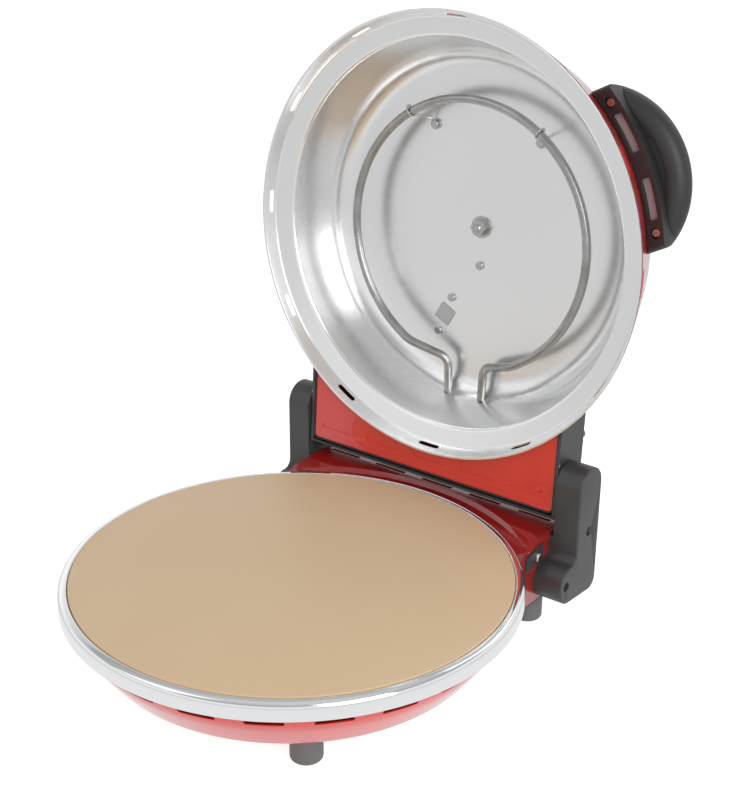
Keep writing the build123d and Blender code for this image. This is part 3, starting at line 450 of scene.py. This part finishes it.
def makeRing(shape):
    # the side line up the inside, over the top and down the skirt, spun
    line = roundedLine(shape["corners"], shape["bends"])
    spinSheet("trimRing", line, "base", "chrome", ["trim_ring"], shape["thickness"], flip=True,
              columns=300)


makeRing(ringShape)

bowlShape = {
    "corners": [(161.6, -4.2), (161.6, -14.7), (157.0, -15.5), (152.8, -26.0), (133.0, -53.0),
                (0.0, -53.0)],
    "bends": [1.6, 1.6, 48.0, 18.0],
    "thickness": 1.2,
}
# 22 places evenly round the bowl, of which the 15 at the front and sides are cut
bowlVents = {"length": 26.0, "height": 3.4, "z": -20.5, "radius": 154.9, "pitch": 360 / 22,
             "angles": [k * 360 / 22 for k in range(-7, 8)]}


def makeBowl(shape, vents):
    # the side line from the ring down the wall and in to the middle, spun
    line = roundedLine(shape["corners"], shape["bends"])
    spinSheet("bowl", line, "base", "red_gloss", ["base_shell"], shape["thickness"], vents,
              flip=True)


makeBowl(bowlShape, bowlVents)
print("base dressed")

domeShape = {"edgeRadius": 165.6, "edgeHeight": 3.2, "slope": 0.4155, "height": 76.0,
             "shoulder": 30.0, "thickness": 1.2}
domeVents = {"length": 22.0, "height": 8.0, "z": hinge["rim"] + 9.0, "radius": 163.2,
             "pitch": 30.0, "angles": [30.0 * k for k in range(12)]}


def makeDome(shape, vents):
    # a leaning wall, one large bend at the shoulder and a flat top, spun
    top = shape["edgeRadius"] - shape["slope"] * (shape["height"] - shape["edgeHeight"])
    edge = (shape["edgeRadius"], shape["edgeHeight"])
    corners = [edge, (top, shape["height"]), (0, shape["height"])]
    line = roundedLine(corners, [shape["shoulder"]], 14) + np.array([0, hinge["rim"]])
    spinSheet("dome", line, "lid", "red_gloss", ["lid_dome"], shape["thickness"], vents,
              onLid=True)


makeDome(domeShape, domeVents)

dishShape = {
    "corners": [(166.0, 0.0), (164.3, 0.0), (160.311, 9.6), (146.0, 12.6), (132.0, 60.0),
                (0.0, 60.0)],
    "bends": [0.6, 2.0, 4.0, 18.0],
    "thickness": 0.9,
}
dishVents = {"length": 18.0, "height": 3.4, "z": hinge["rim"] + 6.0, "radius": 161.8,
             "pitch": 30.0, "angles": [30.0 * k for k in range(12)]}


def makeDish(shape, vents):
    # rolled rim, slotted band, flat ledge, wall and disc of the inner dish, spun
    line = roundedLine(shape["corners"], shape["bends"], 12) + np.array([0, hinge["rim"]])
    spinSheet("innerDish", line, "lid", "aluminium", ["lid_reflector"], shape["thickness"],
              vents, onLid=True, flip=True)


makeDish(dishShape, dishVents)

# opening is half the ring's gap in degrees; corner is where a leg turns towards its hole
heaterShape = {"radius": 102.7, "shift": 3.9, "height": 38.1, "opening": 34.0, "tube": 6.5,
               "lead": 12.0, "knee": 30.0, "corner": (16.5, 106.3, 49.3), "bend": 11.0,
               "hole": (15.2, 133.5, 50.9), "tail": 3.0}


def heaterPath(shape):
    # ring with a gap at the hinge; each end runs inwards, bends and goes into the dish wall
    half = math.radians(shape["opening"])
    turn = np.linspace(half, 2 * np.pi - half, 150)
    ring = np.stack([shape["radius"] * np.sin(turn),
                     shape["shift"] + shape["radius"] * np.cos(turn),
                     0 * turn + shape["height"]], -1)
    knee = ring[0] + shape["lead"] * np.array([-math.cos(half), math.sin(half), 0])
    corner, hole = np.array(shape["corner"]), np.array(shape["hole"])
    end = hole + (hole - corner) / np.linalg.norm(hole - corner) * shape["tail"]
    leg = roundedLine([ring[0], knee, corner, end], [shape["knee"], shape["bend"]], 12)
    otherLeg = leg * [-1, 1, 1]
    return np.concatenate([leg[::-1][:-1], ring, otherLeg[1:]])


def makeHeater(shape):
    points, faces = tubeMesh(heaterPath(shape), shape["tube"] / 2)
    newPiece("upperHeater", openLid(points), faces, "lid", "tube_steel", ["upper_element"], 60)


makeHeater(heaterShape)

# wallRun is the way that the dish wall goes as it gets deeper, in radius and height
# black coins on the dish wall, painted as the shade inside the heater legs' holes
legHoleShades = {"radius": 4.7, "aside": 0.9, "wallRun": (-14.0, 47.4), "lift": 0.12, "depth": 0.4}


def makeLegHoleShade(name, side, shape, heater):
    # painted shade of a heater leg's clearance hole, no hole being cut: a thin black coin bent to
    # the dish wall, its rim a circle measured along the wall, one layer just proud of the wall and
    # one just behind it
    run = np.array(shape["wallRun"]) / np.hypot(*shape["wallRun"])
    inward = np.array([-run[1], run[0]])
    turn = np.linspace(0, 2 * np.pi, 24, endpoint=False)[None]
    lift = np.array([[shape["lift"]], [shape["lift"] - shape["depth"]]])
    x, y, z = heater["hole"]
    reach = math.hypot(x, y)
    along, up = shape["radius"] * np.cos(turn), shape["radius"] * np.sin(turn)
    radius = reach + up * run[0] + lift * inward[0]
    height = z + up * run[1] + lift * inward[1]
    angle = math.atan2(side * x + shape["aside"], y) + along / reach
    points = np.stack([radius * np.sin(angle), radius * np.cos(angle), height], -1)
    count = turn.shape[1]
    faces = [list(range(count)), list(range(2 * count - 1, count - 1, -1))]
    faces += gridFaces(2, count)[:, ::-1].tolist()
    newPiece(name, openLid(points.reshape(-1, 3)), faces, "lid", "black_moulding", smooth=30)


# painted shade in the two leg holes, as black coins on the dish wall
makeLegHoleShade("legHoleShadeLeft", -1, legHoleShades, heaterShape)
makeLegHoleShade("legHoleShadeRight", 1, legHoleShades, heaterShape)
print("lid dressed")

# nodes that keep their CAD shape with softened edges: new name, slot, and edge in millimetres
softened = {
    "rear_housing": ("rearHousing", "red_moulding", 0.5),
    "hinge_cover_right": ("hingeBootRight", "black_moulding", 0.0),
    "hinge_cover_left": ("hingeBootLeft", "black_moulding", 0.0),
    "lid_box": ("lidBox", "black_moulding", 0.5),
    "lid_panel": ("lidPanel", "red_gloss", 0.25),
    "panel_frame": ("panelFrame", "black_moulding", 0.25),
    "handle_bracket": ("gripBracket", "black_grip", 0.5),
    "handle_grip": ("grip", "black_grip", 0.6),
    "knob": ("dialKnob", "black_grip", 0.0),
    "dial_plate": ("dialPlate", "black_grip", 0.0),
    "foot_front_right": ("footFrontRight", "rubber", 0.0),
    "foot_front_left": ("footFrontLeft", "rubber", 0.0),
    "foot_rear_right": ("footRearRight", "rubber", 0.0),
    "foot_rear_left": ("footRearLeft", "rubber", 0.0),
}
for node, (name, slot, bevel) in softened.items():
    # the frame's face has a window in it, which joining its facets would fill
    dressedCopy(node, name, slot, bevel=bevel, join=node != "panel_frame")

# the clips' tube line in the CAD, and how near to it a point moves fully, and not at all
clipShift = {"oldRadius": 103.0, "oldHeight": 39.0, "full": 4.0, "none": 12.0}


def makeClip(node, name, shift, heater):
    # each point follows the heater tube, by a share that falls off with its distance from it
    clip = dressedCopy(node, name, "screw_steel", join=False)
    flat = np.empty(len(clip.data.vertices) * 3, np.float32)
    clip.data.vertices.foreach_get("co", flat)
    shut = openLid(flat.reshape(-1, 3).astype(float) * 1000, -1)
    fromAxis = np.hypot(shut[:, 0], shut[:, 1])
    gap = np.hypot(fromAxis - shift["oldRadius"], shut[:, 2] - shift["oldHeight"])
    share = np.clip((shift["none"] - gap) / (shift["none"] - shift["full"]), 0, 1)[:, None]
    shut += share * [0, heater["shift"], heater["height"] - shift["oldHeight"]]
    moved = openLid(shut) * 0.001
    clip.data.vertices.foreach_set("co", moved.astype(np.float32).ravel())
    clip.data.update()


makeClip("element_clip_right", "clipRight", clipShift, heaterShape)
makeClip("element_clip_left", "clipLeft", clipShift, heaterShape)

slotOfNode = {entry["node"]: entry["material_slot"] for entry in frame["record"]["subparts"]}
for node, part in frame["nodes"].items():
    part.data.materials.clear()
    part.data.materials.append(finish[slotOfNode[node]])
# the strap behind the bracket's windows is duller than the screws
strapSteel = zincSteel("strapSteel", 0.42, 0.35, 0.45, 0.6)
frame["nodes"]["handle_strap"].data.materials[0] = strapSteel
print("nodes carried over:", len(frame["nodes"]))

studio = {
    "floorZ": -0.075,
    "floorReach": 12.0,
    "floorTone": 0.86,
    # brightness of the surroundings from straight down, over the horizon, to straight up
    "worldBands": [(0.0, 0.8), (0.5, 0.9), (0.6, 1.0), (0.7, 1.0), (0.83, 0.42), (1.0, 0.75)],
    "worldStrength": 0.92,
    "seenGlow": 0.5,
    # glow of the floor under and round the object, fading out between two distances
    "nearGlow": 0.3,
    "nearReach": (0.25, 0.75),
    # what mirrored rays see of the floor, near and far
    "mirroredTones": (0.9, 0.68),
}


def mathNode(nodes, links, operation, first, second):
    node = nodes.new("ShaderNodeMath")
    node.operation = operation
    for value, socket in zip((first, second), node.inputs):
        if isinstance(value, float):
            socket.default_value = value
        else:
            links.new(value, socket)
    return node.outputs[0]


def mixShaders(nodes, links, factor, first, second):
    mix = nodes.new("ShaderNodeMixShader")
    links.new(factor, mix.inputs[0])
    links.new(first.outputs[0], mix.inputs[1])
    links.new(second.outputs[0], mix.inputs[2])
    return mix.outputs[0]


def makeFloor(setup):
    # diffuse paper that also glows, by a share for rays from the camera and one by distance from
    # the object; mirrored rays see an even tone that darkens with distance
    reach, z = setup["floorReach"], setup["floorZ"]
    corners = [(-reach, -reach, z), (reach, -reach, z), (reach, reach, z), (-reach, reach, z)]
    mesh = bpy.data.meshes.new("floor")
    mesh.from_pydata(corners, [], [(0, 1, 2, 3)])
    floor = bpy.data.objects.new("floor", mesh)
    bpy.context.scene.collection.objects.link(floor)
    mat, nodes, links, shader = newMaterial("floorPaper", (setup["floorTone"],) * 3, 0.9)
    ray = nodes.new("ShaderNodeLightPath").outputs
    place = nodes.new("ShaderNodeTexCoord")
    away = nodes.new("ShaderNodeVectorMath")
    away.operation = "LENGTH"
    links.new(place.outputs["Object"], away.inputs[0])
    distance = away.outputs["Value"]
    seen = mathNode(nodes, links, "MAXIMUM", ray["Is Camera Ray"], ray["Is Transmission Ray"])
    seenGlow = mathNode(nodes, links, "MULTIPLY", seen, setup["seenGlow"])
    nearGlow = remap(nodes, links, distance, setup["nearGlow"], 0, *setup["nearReach"])
    glow = nodes.new("ShaderNodeEmission")
    links.new(mathNode(nodes, links, "ADD", seenGlow, nearGlow), glow.inputs["Strength"])
    lit = nodes.new("ShaderNodeAddShader")
    links.new(shader.outputs[0], lit.inputs[0])
    links.new(glow.outputs[0], lit.inputs[1])
    mirrored = nodes.new("ShaderNodeEmission")
    tone = remap(nodes, links, distance, *setup["mirroredTones"], *setup["nearReach"])
    links.new(tone, mirrored.inputs["Strength"])
    surface = mixShaders(nodes, links, ray["Is Glossy Ray"], lit, mirrored)
    links.new(surface, nodes["Material Output"].inputs["Surface"])
    mesh.materials.append(mat)


def makeWorld(setup):
    # grey bands by height for light and mirrored rays, and plain white for the camera
    world = bpy.data.worlds.new("studioWorld")
    bpy.context.scene.world = world
    world.use_nodes = True
    nodes, links = world.node_tree.nodes, world.node_tree.links
    soft = nodes["Background"]
    soft.inputs["Strength"].default_value = setup["worldStrength"]
    way = nodes.new("ShaderNodeTexCoord")
    split = nodes.new("ShaderNodeSeparateXYZ")
    links.new(way.outputs["Generated"], split.inputs[0])
    ramp = nodes.new("ShaderNodeValToRGB")
    stops = ramp.color_ramp.elements
    for height, tone in setup["worldBands"][1:-1]:
        stops.new(height)
    for stop, (height, tone) in zip(stops, setup["worldBands"]):
        stop.position = height
        stop.color = (tone, tone, tone * 1.01, 1)
    links.new(remap(nodes, links, split.outputs["Z"], 0, 1, -1, 1), ramp.inputs[0])
    links.new(ramp.outputs["Color"], soft.inputs["Color"])
    white = nodes.new("ShaderNodeBackground")
    white.inputs["Color"].default_value = (1, 1, 1, 1)
    white.inputs["Strength"].default_value = 1.0
    ray = nodes.new("ShaderNodeLightPath").outputs
    seen = mathNode(nodes, links, "MAXIMUM", ray["Is Camera Ray"], ray["Is Transmission Ray"])
    links.new(mixShaders(nodes, links, seen, soft, white), nodes["World Output"].inputs["Surface"])


makeFloor(studio)
makeWorld(studio)

# wide soft lamps: place, point aimed at, width and height in metres, and power in watts
lamps = {
    "keyLamp": ((-0.9, -1.1, 1.7), (0, 0.05, 0.1), (1.2, 1.2), 3),
    "fillLamp": ((1.6, -0.6, 1.0), (0, 0.05, 0.1), (1.0, 1.4), 16),
    "backLamp": ((0.2, 1.6, 1.5), (0, 0.05, 0.1), (1.6, 1.0), 4),
    "sideLamp": ((-1.5, 0.7, 0.8), (0, 0.0, 0.05), (1.2, 1.0), 0.6),
}
for name, (place, aim, size, power) in lamps.items():
    data = bpy.data.lights.new(name, "AREA")
    data.shape = "RECTANGLE"
    data.size, data.size_y = size
    data.energy = power
    lamp = bpy.data.objects.new(name, data)
    lamp.location = place
    lamp.rotation_euler = (Vector(aim) - Vector(place)).to_track_quat("-Z", "Y").to_euler()
    bpy.context.scene.collection.objects.link(lamp)
print("floor, world and lamps:", len(lamps))

bpy.context.scene.view_settings.view_transform = "Standard"
